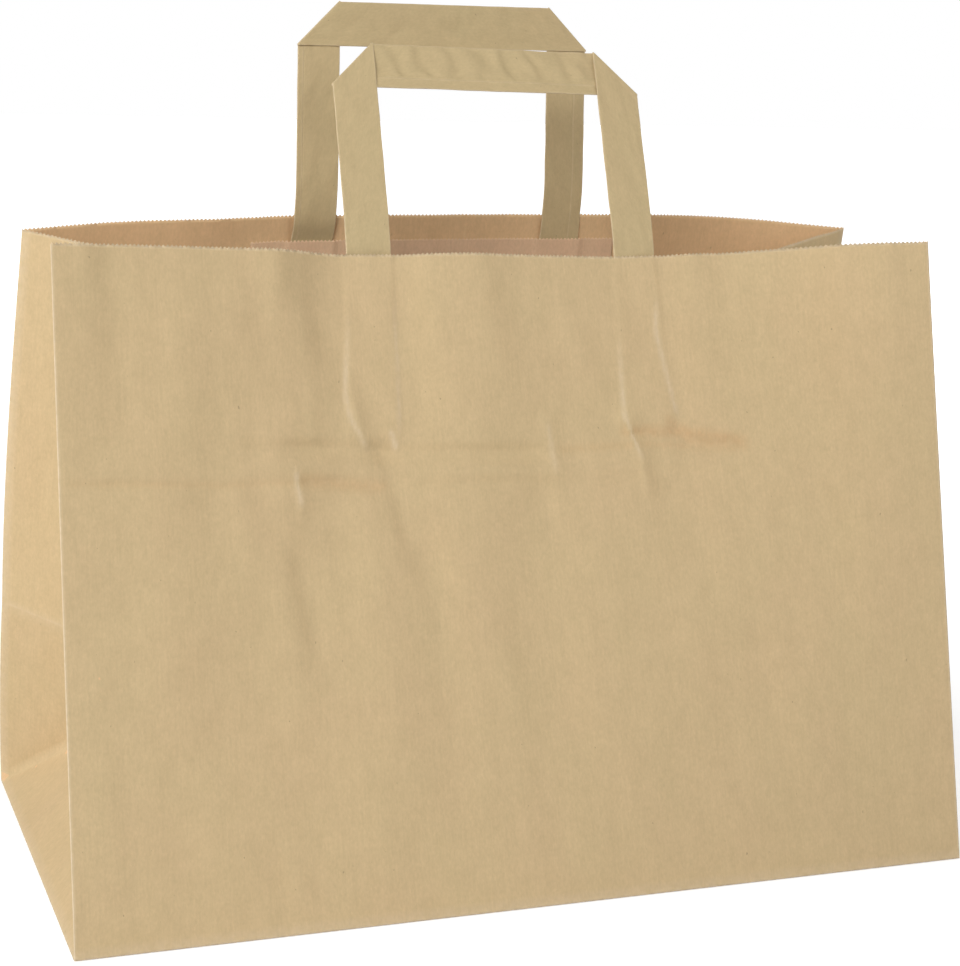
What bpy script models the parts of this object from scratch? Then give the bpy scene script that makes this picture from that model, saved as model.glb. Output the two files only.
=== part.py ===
"""Takeaway bag of brown kraft paper, with two flat handles of folded paper strip.

The body is one sheet of paper: a front and a back panel, two gussets that fold inwards, and a
block bottom of folded flaps. Each handle is one strip, mitred at both corners, with its two legs
glued between its panel and a paper patch. The bag stands open, as it does when it is half
unfolded: the mouth is drawn together and both gussets are tucked in.

Metres, +Z up. The origin is on the surface that the bag stands on, at the middle of the bottom.
+X runs along the width, and the front panel faces -Y.
"""
import math

import bmesh
import bpy
from mathutils import Vector

# The block bottom and the panels
BAG_WIDTH = 0.350
BAG_DEPTH = 0.184
BAG_HEIGHT = 0.243
PAPER = 0.00015
CLEARANCE = 0.0003

# How far the front panel leans in at the mouth, at its corners and in its middle
FRONT_CORNER_LEAN = 0.035
FRONT_MIDDLE_LEAN = 0.073
# The same for the back panel, at the cross crease and at the mouth
CREASE_CORNER_LEAN = 0.032
CREASE_MIDDLE_LEAN = 0.018
BACK_CORNER_LEAN = 0.054
BACK_MIDDLE_LEAN = 0.038
# The mouth is racked a little: its edges span less than the sheet's width and lie off the middle
FRONT_MOUTH_LOSS = 0.0135
FRONT_MOUTH_SHIFT = -0.0069
BACK_MOUTH_LOSS = 0.0009
BACK_MOUTH_SHIFT = 0.0040
# The mouth runs straight behind the handle patch and a little past it, then curves away
STRAIGHT_MARGIN = 0.006
CURVE_POWER = 1.25

# The gussets: lean of the lowest triangle, and how far the middle of the top edge sinks
GUSSET_LEAN = math.radians(44.0)
GUSSET_DROP = 0.015

# The folded bottom: overlap of the two long flaps, and how far edges stay from the folds
FLAP_OVERLAP = 0.028
FLAP_INSET = 0.001
FLAP_EDGE_GAP = 0.0004
GLUE_LAP_WIDTH = 0.015

# The handles and their patches
STRIP_WIDTH = 0.0174
STRIP_THICKNESS = 0.0006
HANDLE_WIDTH = 0.1244
HANDLE_RISE = 0.083
LEG_BELOW_RIM = 0.068
BEND_LENGTH = 0.018
# At a mitre fold the band's edge stands this far past the leg's
FOLD_STEP = 0.0002
FRONT_HANDLE_LEAN = math.radians(24.9)
BACK_HANDLE_LEAN = math.radians(-9.8)
FRONT_HANDLE_SHIFT = 0.0014
BACK_HANDLE_SHIFT = 0.0
FRONT_HANDLE_SWAY = math.radians(1.6)
BACK_HANDLE_SWAY = math.radians(3.25)
PATCH_WIDTH = 0.158
PATCH_HEIGHT = 0.062
PATCH_BELOW_RIM = 0.011
PATCH_RAMP = 0.003

# How finely the sheets are divided
CURVE_COLUMNS = 7
MIDDLE_COLUMNS = 4
LOW_ROWS = 2
HIGH_ROWS = 5
GUSSET_COLUMNS = 3
SIDE_STEPS = 4
BEND_STEPS = 4

HALF_WIDTH = BAG_WIDTH / 2
HALF_DEPTH = BAG_DEPTH / 2
# The sheet's bottom lies on the outer flaps, which are one paper thick
SHEET_BASE = PAPER
# The diagonal creases of a block bottom meet at half the depth above the bottom edge
CREASE_HEIGHT = HALF_DEPTH
HIGH_PART = BAG_HEIGHT - CREASE_HEIGHT
# A share of one paper by which glued layers run into each other, to make one body
GLUE_BITE = 0.1 * PAPER


def sheet_columns():
    """Places across a panel, finer where the mouth curves."""
    straight = PATCH_WIDTH / 2 + STRAIGHT_MARGIN
    middle = [straight * (2 * i / MIDDLE_COLUMNS - 1) for i in range(MIDDLE_COLUMNS + 1)]
    step = (HALF_WIDTH - straight) / CURVE_COLUMNS
    curve = [straight + step * (i + 1) for i in range(CURVE_COLUMNS)]
    return [-x for x in reversed(curve)] + middle + curve


def sheet_rows():
    """Places up a panel: the cross crease is one of them."""
    low = [CREASE_HEIGHT * i / LOW_ROWS for i in range(LOW_ROWS)]
    high = [CREASE_HEIGHT + HIGH_PART * i / HIGH_ROWS for i in range(HIGH_ROWS + 1)]
    return low + high


def lean_across(x, corner, middle):
    """Lean of a panel at x: constant behind the patch, then a curve out to the corner."""
    straight = PATCH_WIDTH / 2 + STRAIGHT_MARGIN
    beyond = (abs(x) - straight) / (HALF_WIDTH - straight)
    if beyond <= 0:
        return middle
    share = 1 - (1 - min(beyond, 1.0)) ** CURVE_POWER
    return middle + (corner - middle) * share


def rise(length, lean):
    """Height gained by a length of paper that leans by a given distance."""
    return math.sqrt(length ** 2 - lean ** 2)


def front_point(x, s):
    """A point of the front panel's outer face, x across and s up the sheet."""
    share = s / BAG_HEIGHT
    lean = lean_across(x, FRONT_CORNER_LEAN, FRONT_MIDDLE_LEAN)
    across = x + share * (FRONT_MOUTH_SHIFT - FRONT_MOUTH_LOSS * x / BAG_WIDTH)
    return Vector((across, -HALF_DEPTH + share * lean, SHEET_BASE + share * rise(BAG_HEIGHT, lean)))


def back_point(x, s):
    """A point of the back panel's outer face, which bends at the cross crease."""
    crease = lean_across(x, CREASE_CORNER_LEAN, CREASE_MIDDLE_LEAN)
    mouth = lean_across(x, BACK_CORNER_LEAN, BACK_MIDDLE_LEAN)
    low = min(s / CREASE_HEIGHT, 1.0)
    high = max(s - CREASE_HEIGHT, 0.0) / HIGH_PART
    across = x + s / BAG_HEIGHT * (BACK_MOUTH_SHIFT - BACK_MOUTH_LOSS * x / BAG_WIDTH)
    y = HALF_DEPTH - low * crease - high * (mouth - crease)
    z = SHEET_BASE + low * rise(CREASE_HEIGHT, crease) + high * rise(HIGH_PART, mouth - crease)
    return Vector((across, y, z))


def gusset_crease(side, s):
    """A point of a gusset's middle crease, above the place where the creases meet."""
    apex = Vector((side * (HALF_WIDTH - HALF_DEPTH * math.sin(GUSSET_LEAN)), 0.0,
                   SHEET_BASE + HALF_DEPTH * math.cos(GUSSET_LEAN)))
    front = front_point(side * HALF_WIDTH, BAG_HEIGHT)
    back = back_point(side * HALF_WIDTH, BAG_HEIGHT)
    half = (front - back).length / 2
    inward = math.sqrt(HALF_DEPTH ** 2 - half ** 2 - GUSSET_DROP ** 2)
    top = (front + back) / 2 - Vector((side * inward, 0.0, GUSSET_DROP))
    return apex.lerp(top, (s - CREASE_HEIGHT) / HIGH_PART)


def gusset_row(side, s):
    """Points across a gusset from the front corner to the back corner, through its middle crease."""
    front = front_point(side * HALF_WIDTH, s)
    middle = gusset_crease(side, s)
    back = back_point(side * HALF_WIDTH, s)
    steps = [i / GUSSET_COLUMNS for i in range(1, GUSSET_COLUMNS + 1)]
    return [front] + [front.lerp(middle, t) for t in steps] + [middle.lerp(back, t) for t in steps]


def material(name, colour, roughness):
    """A plain paper material."""
    made = bpy.data.materials.new(name)
    made.use_nodes = True
    shader = made.node_tree.nodes["Principled BSDF"]
    shader.inputs["Base Color"].default_value = (*colour, 1.0)
    shader.inputs["Roughness"].default_value = roughness
    shader.inputs["Metallic"].default_value = 0.0
    return made


def object_from(name, mesh_data, paper=None):
    """An object from a bmesh, with its faces pointing out."""
    bmesh.ops.recalc_face_normals(mesh_data, faces=mesh_data.faces)
    mesh = bpy.data.meshes.new(name)
    mesh_data.to_mesh(mesh)
    mesh_data.free()
    made = bpy.data.objects.new(name, mesh)
    bpy.context.scene.collection.objects.link(made)
    if paper:
        mesh.materials.append(paper)
    return made


def unite(target, piece):
    """Glue a piece to its target: the piece itself stays as a hidden guide."""
    join = target.modifiers.new("glue " + piece.name, "BOOLEAN")
    join.operation = "UNION"
    join.object = piece
    piece.hide_render = True
    piece.display_type = "WIRE"


class SheetMesh:
    """A mesh that shares a vertex wherever two panels meet."""

    def __init__(self):
        self.mesh = bmesh.new()
        self.known = {}

    def vertex(self, point):
        key = tuple(round(c * 1e6) for c in point)
        if key not in self.known:
            self.known[key] = self.mesh.verts.new(point)
        return self.known[key]

    def face(self, points):
        self.mesh.faces.new([self.vertex(p) for p in points])

    def grid(self, rows):
        for low, high in zip(rows[:-1], rows[1:]):
            for i in range(len(low) - 1):
                self.face([low[i], low[i + 1], high[i + 1], high[i]])


def add_low_gusset(sheet, side, rows):
    """The folded foot of a gusset: a leaning triangle between two upright ones."""
    apex = gusset_crease(side, CREASE_HEIGHT)
    for point in (front_point, back_point):
        edge = [point(side * HALF_WIDTH, s) for s in rows if s <= CREASE_HEIGHT]
        for low, high in zip(edge[:-1], edge[1:]):
            sheet.face([low, high, apex])
    foot = side_edge(side)
    for near, far in zip(foot[:-1], foot[1:]):
        sheet.face([near, far, apex])


def side_edge(side):
    """Points along a short edge of the bottom."""
    places = [HALF_DEPTH * (2 * i / SIDE_STEPS - 1) for i in range(SIDE_STEPS + 1)]
    return [Vector((side * HALF_WIDTH, y, SHEET_BASE)) for y in places]


def folded_sheet(paper):
    """The body's folded sheet, from its outer face inwards."""
    columns = sheet_columns()
    rows = sheet_rows()
    sheet = SheetMesh()
    sheet.grid([[front_point(x, s) for x in columns] for s in rows])
    sheet.grid([[back_point(x, s) for x in columns] for s in rows])
    across = [p.y for p in side_edge(1)]
    sheet.grid([[Vector((x, y, SHEET_BASE)) for x in columns] for y in across])
    for side in (-1, 1):
        add_low_gusset(sheet, side, rows)
        sheet.grid([gusset_row(side, s) for s in rows if s >= CREASE_HEIGHT])
    body = object_from("bag_body", sheet.mesh, paper)
    wall = body.modifiers.new("paper", "SOLIDIFY")
    wall.thickness = PAPER
    wall.offset = -1.0
    wall.solidify_mode = "NON_MANIFOLD"
    wall.nonmanifold_thickness_mode = "FIXED"
    return body


def plate(name, outline, low, high):
    """A flat layer of paper with an outline given as (x, y) points."""
    mesh = bmesh.new()
    face = mesh.faces.new([mesh.verts.new((x, y, low)) for x, y in outline])
    grown = bmesh.ops.extrude_face_region(mesh, geom=[face])
    moved = [v for v in grown["geom"] if isinstance(v, bmesh.types.BMVert)]
    bmesh.ops.translate(mesh, verts=moved, vec=(0.0, 0.0, high - low))
    return object_from(name, mesh)


def rectangle(x_low, x_high, y_low, y_high):
    return [(x_low, y_low), (x_high, y_low), (x_high, y_high), (x_low, y_high)]


def long_flap(name, facing, reach):
    """A long flap of the bottom: its corners fold in at 45 degrees, so it narrows as it reaches in."""
    edge = facing * (HALF_DEPTH - FLAP_INSET)
    half = HALF_WIDTH - FLAP_INSET
    tip = facing * (HALF_DEPTH - reach)
    narrow = HALF_WIDTH - reach
    outline = [(-half, edge), (half, edge), (narrow, tip), (-narrow, tip)]
    return plate(name, outline, 0.0, SHEET_BASE + GLUE_BITE)


def bottom_layers():
    """The layers that the block bottom shows, under the sheet and on top of it."""
    reach = HALF_DEPTH + FLAP_OVERLAP / 2
    flap_end = HALF_WIDTH - reach
    inner = SHEET_BASE + PAPER - GLUE_BITE
    half_width = HALF_WIDTH - FLAP_INSET
    half_depth = HALF_DEPTH - FLAP_INSET
    return [
        long_flap("front flap", -1, reach),
        long_flap("back flap", 1, HALF_DEPTH - FLAP_OVERLAP / 2 - FLAP_EDGE_GAP),
        plate("back flap inside", rectangle(-flap_end + FLAP_EDGE_GAP, flap_end - FLAP_EDGE_GAP,
              -FLAP_OVERLAP / 2, half_depth), inner, SHEET_BASE + 2 * PAPER),
        plate("left flap", rectangle(-half_width, -flap_end, -half_depth, half_depth),
              inner, SHEET_BASE + 3 * PAPER),
        plate("right flap", rectangle(flap_end, half_width, -half_depth, half_depth),
              inner, SHEET_BASE + 3 * PAPER),
    ]


def slab(name, near_rows, far_rows, paper=None):
    """A closed thin solid between two grids of points with the same rows and columns."""
    mesh = bmesh.new()
    near = [[mesh.verts.new(p) for p in row] for row in near_rows]
    far = [[mesh.verts.new(p) for p in row] for row in far_rows]
    last_row = len(near) - 1
    last = len(near[0]) - 1
    for j in range(last_row):
        for i in range(last):
            mesh.faces.new([near[j][i], near[j][i + 1], near[j + 1][i + 1], near[j + 1][i]])
            mesh.faces.new([far[j][i], far[j + 1][i], far[j + 1][i + 1], far[j][i + 1]])
        mesh.faces.new([near[j][0], near[j + 1][0], far[j + 1][0], far[j][0]])
        mesh.faces.new([near[j][last], far[j][last], far[j + 1][last], near[j + 1][last]])
    for i in range(last):
        mesh.faces.new([near[0][i], far[0][i], far[0][i + 1], near[0][i + 1]])
        mesh.faces.new([near[last_row][i], near[last_row][i + 1], far[last_row][i + 1], far[last_row][i]])
    return object_from(name, mesh, paper)


def glue_lap():
    """The lap that closes the sheet into a tube: a second thickness up the middle of the back."""
    places = [-GLUE_LAP_WIDTH / 2, GLUE_LAP_WIDTH / 2]
    rows = sheet_rows()
    rows[0] = FLAP_INSET
    rows[-1] = BAG_HEIGHT - FLAP_INSET
    outward = Vector((0.0, PAPER, 0.0))
    outer = [[back_point(x, s) + outward for x in places] for s in rows]
    bite = [[back_point(x, s) - outward / 2 for x in places] for s in rows]
    return slab("glue lap", outer, bite)


class Wall:
    """The flat middle of a panel at the mouth, with the handle's places measured from its rim.

    p runs across from the handle's middle, q up the paper from the rim, r inwards from the outer
    face. Above the rim the handle bends over to its own lean.
    """

    def __init__(self, point, facing, shift, lean, sway):
        self.rim = point(0.0, BAG_HEIGHT)
        self.rim.x = shift
        below = point(0.0, BAG_HEIGHT - LEG_BELOW_RIM)
        self.facing = facing
        self.tilt = math.asin(facing * (self.rim.y - below.y) / LEG_BELOW_RIM)
        self.lean = lean
        self.sway = sway

    def up(self, angle):
        return Vector((0.0, self.facing * math.sin(angle), math.cos(angle)))

    def inward(self, angle):
        return Vector((0.0, self.facing * math.cos(angle), -math.sin(angle)))

    def angle(self, q):
        share = min(max(q / BEND_LENGTH, 0.0), 1.0)
        return self.tilt + (self.lean - self.tilt) * share

    def place(self, p, q, r):
        point = self.rim + Vector((p + max(q, 0.0) * math.tan(self.sway), 0.0, 0.0))
        if q <= 0:
            point += self.up(self.tilt) * q
        else:
            bend = min(q, BEND_LENGTH)
            for i in range(BEND_STEPS):
                point += self.up(self.angle(bend * (i + 0.5) / BEND_STEPS)) * (bend / BEND_STEPS)
            point += self.up(self.lean) * (q - bend)
        return point + self.inward(self.angle(q)) * r


def layer(name, wall, rows, near, far, paper=None):
    """A layer of strip: rows of (p, q) places, between two distances from the panel's outer face."""
    near_rows = [[wall.place(p, q, near) for p, q in row] for row in rows]
    far_rows = [[wall.place(p, q, far) for p, q in row] for row in rows]
    return slab(name, near_rows, far_rows, paper)


def handle(name, wall, paper):
    """One strip: two legs, and a band behind them that the mitre folds turn inwards."""
    outer = HANDLE_WIDTH / 2
    inner = outer - STRIP_WIDTH
    leg_near = PAPER + CLEARANCE
    leg_far = leg_near + STRIP_THICKNESS
    mitre = HANDLE_RISE - STRIP_WIDTH
    bend_rows = [BEND_LENGTH * i / BEND_STEPS for i in range(BEND_STEPS + 1)]
    levels = [-LEG_BELOW_RIM] + bend_rows + [mitre - STRIP_WIDTH]
    legs = []
    for side in (-1, 1):
        rows = [[(side * outer, q), (side * inner, q)] for q in levels]
        rows.append([(side * outer, mitre - FOLD_STEP), (side * inner, HANDLE_RISE - FOLD_STEP)])
        legs.append(layer(f"{name} leg {side}", wall, rows, leg_near, leg_far, paper))
    band_rows = [[(-outer, mitre), (outer, mitre)], [(-inner, HANDLE_RISE), (inner, HANDLE_RISE)]]
    band = layer(name, wall, band_rows, leg_far - GLUE_BITE, leg_far + STRIP_THICKNESS, paper)
    for leg in legs:
        unite(band, leg)
    return band


def patch(name, wall, paper):
    """The paper glued over both legs: flat on the panel, and raised where it passes a leg."""
    outer = HANDLE_WIDTH / 2 + CLEARANCE
    inner = HANDLE_WIDTH / 2 - STRIP_WIDTH - CLEARANCE
    low = PAPER + CLEARANCE
    high = low + STRIP_THICKNESS + CLEARANCE
    half = [(0.0, low), (inner - PATCH_RAMP, low), (inner, high), (outer, high),
            (outer + PATCH_RAMP, low), (PATCH_WIDTH / 2, low)]
    profile = [(-p, r) for p, r in reversed(half[1:])] + half
    levels = [-PATCH_BELOW_RIM - PATCH_HEIGHT, -PATCH_BELOW_RIM]
    near = [[wall.place(p, q, r) for p, r in profile] for q in levels]
    far = [[wall.place(p, q, r + PAPER) for p, r in profile] for q in levels]
    return slab(name, near, far, paper)


def build():
    for old in list(bpy.data.objects):
        bpy.data.objects.remove(old)
    kraft = material("kraft paper", (0.56, 0.42, 0.235), 0.82)
    strip = material("kraft strip", (0.52, 0.39, 0.215), 0.80)
    inside = material("kraft patch", (0.50, 0.33, 0.205), 0.85)
    body = folded_sheet(kraft)
    for piece in bottom_layers() + [glue_lap()]:
        unite(body, piece)
    front = Wall(front_point, 1, FRONT_HANDLE_SHIFT, FRONT_HANDLE_LEAN, FRONT_HANDLE_SWAY)
    back = Wall(back_point, -1, BACK_HANDLE_SHIFT, BACK_HANDLE_LEAN, BACK_HANDLE_SWAY)
    handle("front_handle", front, strip)
    handle("back_handle", back, strip)
    patch("front_handle_patch", front, inside)
    patch("back_handle_patch", back, inside)


build()
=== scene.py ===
"""The looks of the brown paper carrier bag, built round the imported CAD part.

Paper is modelled as thin closed sheets. Each point of the bag's body has a place on the flat sheet
of paper: u runs round the tube from the front left corner, s runs up from the bottom fold. Shape
functions turn (u, s) into a point in space, so creases, teeth, patches and glued strips all follow
the same surface. Lengths are in millimetres until a mesh is made.
"""

import math

import bpy
import numpy as np
from mathutils import Matrix, Vector


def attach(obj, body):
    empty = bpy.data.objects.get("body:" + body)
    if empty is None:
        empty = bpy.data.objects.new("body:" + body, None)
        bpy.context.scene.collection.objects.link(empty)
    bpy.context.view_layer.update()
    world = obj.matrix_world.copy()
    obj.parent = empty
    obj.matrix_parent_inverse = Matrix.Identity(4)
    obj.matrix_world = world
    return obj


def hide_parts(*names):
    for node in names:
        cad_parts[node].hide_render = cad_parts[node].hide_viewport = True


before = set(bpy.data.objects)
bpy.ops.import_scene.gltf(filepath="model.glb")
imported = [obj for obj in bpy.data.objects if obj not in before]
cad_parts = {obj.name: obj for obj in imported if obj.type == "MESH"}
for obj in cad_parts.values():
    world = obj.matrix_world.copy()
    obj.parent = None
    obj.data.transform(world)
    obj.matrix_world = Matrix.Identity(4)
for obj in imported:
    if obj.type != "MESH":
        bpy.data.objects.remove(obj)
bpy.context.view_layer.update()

# The sheet, as in the CAD part
WIDTH = 350.0
DEPTH = 184.0
HEIGHT = 243.0
HALF_WIDTH = WIDTH / 2
HALF_DEPTH = DEPTH / 2
PAPER = 0.15
# Height of the body's bottom fold, which lies on the outer flaps
BASE = 0.15
# The way round the tube, and where the right gusset, the back and the left gusset start on it
GIRTH = 2 * (WIDTH + DEPTH)
RIGHT = WIDTH
BACK = WIDTH + DEPTH
LEFT = 2 * WIDTH + DEPTH
# The cross crease, and the paper above it
CREASE = HALF_DEPTH
HIGH = HEIGHT - CREASE
GUSSET_LEAN = math.radians(44.0)
GUSSET_DROP = 15.0
# The mouth is racked a little: it lies off the middle and spans less than the sheet's width
FRONT_SHIFT = -6.9
FRONT_LOSS = 13.5
BACK_SHIFT = 4.0
BACK_LOSS = 0.9
CURVE_START = 85.0
CURVE_POWER = 1.25

# What is added to it: paper turned under the bottom, rounded folds, sawtooth cuts, and the bow of
# the back left corner
TURN_UNDER = 4.0
FOLD_ROUND = 0.55
TOOTH_PITCH = 1.6
TOOTH_DEPTH = 0.70
PATCH_TOOTH_DEPTH = 0.8
BACK_BOW = 4.3
# A step on the sheet over which its direction is taken
NORMAL_STEP = 0.4

# The handles and their patches, as in the CAD part, but the patches' teeth reach 1 mm higher
STRIP = 17.4
STRIP_THICK = 0.6
LEG_BELOW = 68.0
PATCH_HALF = 79.0
PATCH_TOP = HEIGHT - 10.0
PATCH_FOOT = HEIGHT - 73.0
GLUE_GAP = 0.30

# Lean of the panels at the mouth: place across the sheet, then millimetres inwards
FRONT_RIM = [
    (-175, 33), (-164, 37), (-154, 41.5), (-144, 45.1), (-135, 46.9), (-126, 49.2), (-112, 52.8),
    (-98, 55.4), (-89, 56.7), (-83.6, 59.4), (-78, 62.5), (-72, 66.3), (-67, 69), (-61, 71.3),
    (-56, 72.6), (-37, 73.3), (-32, 72.8), (-28, 71.1), (-23.7, 69.7), (-14, 69.4), (-4, 69.8),
    (7, 71.8), (17.6, 73.8), (28, 74.7), (39, 76), (50, 76.7), (60, 76.9), (70, 76.2), (76, 76),
    (80, 74.6), (84.4, 72.5), (89, 71.6), (100, 71.2), (109, 68.3), (118, 64.3), (127, 61.4),
    (135, 56.1), (142, 50.6), (150.5, 46.3), (159, 42.6), (175, 38),
]
BACK_RIM = [
    (-175, 54.5), (-168, 52.3), (-154, 48.6), (-140, 46), (-127, 44.5), (-99, 44.4), (-67, 41.3),
    (-22, 38.6), (40, 36.1), (58, 35.7), (100, 35), (116, 34.8), (132, 36.4), (147, 39.7),
    (161, 45.8), (175, 52.5),
]


def smooth_profile(table, blur):
    """A table of (place, value) as a finely spaced curve with its corners blurred."""
    places = np.arange(-185.0, 185.01, 0.5)
    values = np.interp(places, [p for p, _ in table], [v for _, v in table])
    reach = int(blur * 8)
    weights = np.exp(-0.5 * (np.arange(-reach, reach + 1) * 0.5 / blur) ** 2)
    before = 2 * values[0] - values[reach:0:-1]
    after = 2 * values[-1] - values[-2:-reach - 2:-1]
    padded = np.concatenate([before, values, after])
    return places, np.convolve(padded, weights / weights.sum(), "valid")


def lean_curve(corner_left, corner_right, middle):
    """Lean that is constant in the middle and curves out to the corners, as in the CAD part."""
    places = np.arange(-175.0, 175.01, 2.5)
    beyond = np.clip((np.abs(places) - CURVE_START) / (HALF_WIDTH - CURVE_START), 0, 1)
    share = 1 - (1 - beyond) ** CURVE_POWER
    corner = np.where(places < 0, corner_left, corner_right)
    return list(zip(places, middle + (corner - middle) * share))


FRONT_MOUTH = smooth_profile(FRONT_RIM, 2.2)
FRONT_BROAD = smooth_profile(lean_curve(33, 38, 73), 9.0)
BACK_MOUTH = smooth_profile(BACK_RIM, 6.0)
BACK_CREASE = smooth_profile(lean_curve(32, 32, 18), 8.0)


def at(profile, x):
    """The value of a profile at x."""
    return np.interp(x, profile[0], profile[1])


def front(x, s):
    """The front panel before its small relief."""
    share = s / HEIGHT
    mouth = at(FRONT_MOUTH, x)
    broad = at(FRONT_BROAD, x)
    lean = share * broad + share ** 2 * (mouth - broad)
    across = x + share * (FRONT_SHIFT - FRONT_LOSS * x / WIDTH)
    rise = np.sqrt(HEIGHT ** 2 - mouth ** 2)
    return np.stack([across, -HALF_DEPTH + lean, BASE + share * rise], -1)


def back(x, s):
    """The back panel, which bends at the cross crease."""
    crease = at(BACK_CREASE, x)
    mouth = at(BACK_MOUTH, x)
    low = np.minimum(s / CREASE, 1.0)
    high = np.maximum(s - CREASE, 0.0) / HIGH
    bow = BACK_BOW * np.sin(math.pi * (np.clip(s, 0, HEIGHT) / HEIGHT) ** 0.9)
    across = x + s / HEIGHT * (BACK_SHIFT - BACK_LOSS * x / WIDTH) - bow * (0.5 - x / WIDTH)
    y = HALF_DEPTH - low * crease - high * (mouth - crease)
    low_rise = np.sqrt(CREASE ** 2 - crease ** 2)
    high_rise = np.sqrt(HIGH ** 2 - (mouth - crease) ** 2)
    return np.stack([across, y, BASE + low * low_rise + high * high_rise], -1)


def crease_line(side, s):
    """A gusset's middle crease, from the place where the creases meet up to the mouth."""
    apex = np.array([side * (HALF_WIDTH - HALF_DEPTH * math.sin(GUSSET_LEAN)), 0.0,
                     BASE + HALF_DEPTH * math.cos(GUSSET_LEAN)])
    near = front(np.array([side * HALF_WIDTH]), np.array([HEIGHT]))[0]
    far = back(np.array([side * HALF_WIDTH]), np.array([HEIGHT]))[0]
    half = np.linalg.norm(near - far) / 2
    inward = math.sqrt(HALF_DEPTH ** 2 - half ** 2 - GUSSET_DROP ** 2)
    top = (near + far) / 2 - np.array([side * inward, 0.0, GUSSET_DROP])
    share = np.clip((s - CREASE) / HIGH, 0, None)[..., None]
    return apex + (top - apex) * share


def gusset(side, g, s):
    """A gusset: g runs from the front corner to the back corner of the flat sheet."""
    edge = np.full_like(s, side * HALF_WIDTH)
    near = front(edge, s)
    far = back(edge, s)
    middle = crease_line(side, s)
    t = g[..., None] / HALF_DEPTH
    upper = np.where(t <= 1, near + (middle - near) * t, middle + (far - middle) * (t - 1))
    zero = np.zeros_like(s)
    level = np.full_like(s, CREASE)
    foot_near, foot_far = front(edge, zero), back(edge, zero)
    knee_near, knee_far = front(edge, level), back(edge, level)
    apex = crease_line(side, level)
    up = s[..., None] / CREASE
    near_wall = near + t * (apex - knee_near)
    far_wall = far + (2 - t) * (apex - knee_far)
    backwards = (g - s)[..., None] / DEPTH
    leaning = foot_near + up * (apex - foot_near) + backwards * (foot_far - foot_near)
    lower = np.where(t <= up, near_wall, np.where(2 - t <= up, far_wall, leaning))
    return np.where(s[..., None] >= CREASE, upper, lower)


def folded(u, s):
    """The folded sheet with sharp folds, for any place on the sheet. Below s = 0 it turns under."""
    u = np.mod(u, GIRTH)
    under = np.clip(-s, 0, None)
    s = np.clip(s, 0, None)
    point = front(np.clip(u - HALF_WIDTH, -HALF_WIDTH, HALF_WIDTH), s)
    right = gusset(1, np.clip(u - RIGHT, 0, DEPTH), s)
    behind = back(np.clip(HALF_WIDTH - (u - BACK), -HALF_WIDTH, HALF_WIDTH), s)
    left = gusset(-1, np.clip(DEPTH - (u - LEFT), 0, DEPTH), s)
    u = u[..., None]
    point = np.where(u > RIGHT, right, point)
    point = np.where(u > BACK, behind, point)
    point = np.where(u > LEFT, left, point)
    point[..., 0] *= 1 - under / HALF_WIDTH
    point[..., 1] *= 1 - under / HALF_DEPTH
    return point


# Offsets on the sheet, as shares of FOLD_ROUND, and their weights in the mean that rounds the folds
SPREAD = [(-1, 0, 1), (-0.5, 0, 2), (0, 0, 2), (0.5, 0, 2), (1, 0, 1), (0, -1, 1), (0, 1, 1)]


def rounded(u, s):
    """The folded sheet with its folds rounded, by a mean over a small patch of the sheet."""
    total = sum(w for _, _, w in SPREAD)
    return sum(w / total * folded(u + du * FOLD_ROUND, s + ds * FOLD_ROUND)
               for du, ds, w in SPREAD)


def normals(u, s):
    """Outward directions of the rounded sheet, from its differences."""
    along = rounded(u + NORMAL_STEP, s) - rounded(u - NORMAL_STEP, s)
    up = rounded(u, s + NORMAL_STEP) - rounded(u, s - NORMAL_STEP)
    cross = np.cross(along, up)
    return cross / np.maximum(np.linalg.norm(cross, axis=-1, keepdims=True), 1e-9)


def field(seed, count, short, long, stretch=1.0):
    """A smooth random field over the sheet, as a sum of waves with wavelengths in a range."""
    chance = np.random.default_rng(seed)
    waves = []
    for _ in range(count):
        length = short * (long / short) ** chance.random()
        turn = chance.random() * 2 * math.pi
        across = math.cos(turn) * 2 * math.pi / length
        up = math.sin(turn) * 2 * math.pi / length / stretch
        waves.append((across, up, chance.random() * 2 * math.pi, (length / long) ** 0.9))
    size = math.sqrt(sum(w[3] ** 2 for w in waves) / 2)

    def value(x, y):
        return sum(a * np.sin(kx * x + ky * y + p) for kx, ky, p, a in waves) / size
    return value


# Unevenness of the paper, of unit size: short cockles and long swells
COCKLE = field(11, 26, 14.0, 60.0, 1.7)
SWELL = field(5, 14, 55.0, 170.0, 1.6)
COCKLE_HEIGHT = 0.30
FRONT_SWELL = 0.35
BACK_SWELL = 0.6
GUSSET_SWELL = 0.7
# How far the parts that are glued behind the panels press them out
FRONT_LEG_PRESS = 0.60
BACK_LEG_PRESS = 0.20
PATCH_PRESS = 0.16
LAP_PRESS = 0.16
# Half the width of the lap that closes the tube, in the middle of the back
LAP_HALF = 7.5
# The relief dies out over these lengths, towards the side folds and towards the bottom
SIDE_FADE = 14.0
FOOT_FADE = 16.0
# A length beyond every other on the sheet
FAR = 99.0


def edge_of(value, width):
    """A soft step from 0 to 1."""
    return 0.5 + 0.5 * np.tanh(value / width)


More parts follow.
